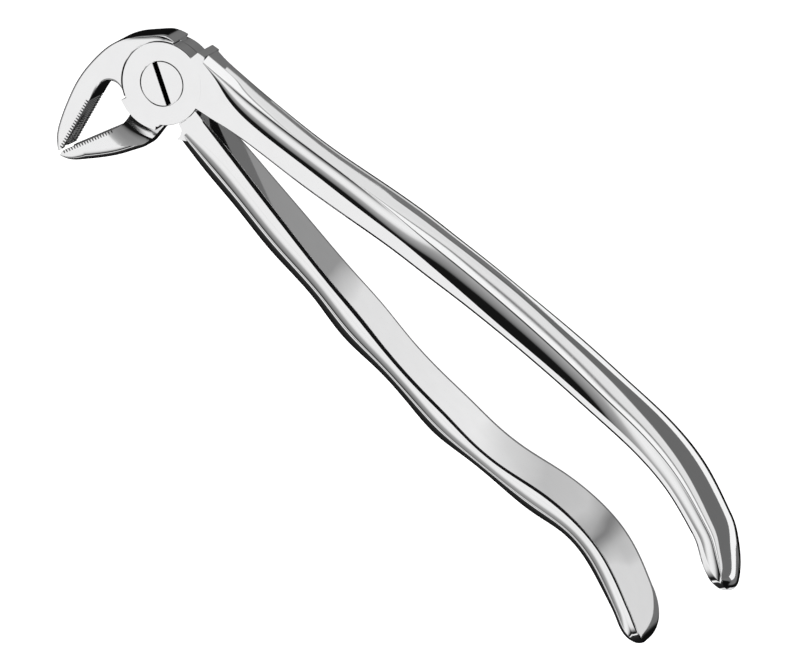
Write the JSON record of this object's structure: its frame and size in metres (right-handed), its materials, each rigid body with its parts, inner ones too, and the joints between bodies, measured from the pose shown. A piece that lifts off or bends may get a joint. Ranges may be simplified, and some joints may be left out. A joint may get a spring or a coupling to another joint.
{
  "type": "extraction forceps",
  "caption": "Dental extraction forceps for lower teeth: right-angled serrated beaks, round lap joint on a slotted screw, fluted handles with curled ends.",
  "frame": {"origin": "on the hinge axis, in the plane of the joint's rear face", "axes": "+Z along the hinge axis from the rear face to the face with the slotted screw head, +X along the handles towards their ends, beaks towards -Y"},
  "size_m": [0.1705, 0.0808, 0.0173],
  "materials": {
    "polished_steel": "mirror-polished stainless steel",
    "screw_steel": "mirror-polished stainless steel, fine ground head"
  },
  "bodies": {
    "rear_half": {"rear_lever": "polished_steel", "hinge_screw": "screw_steel"},
    "front_half": {"front_lever": "polished_steel"}
  },
  "joints": [
    {"name": "opening", "type": "hinge", "parent": "rear_half", "child": "front_half", "pos_m": [0, 0, 0], "axis": [0, 0, 1], "range_deg": [0, 24]}
  ]
}
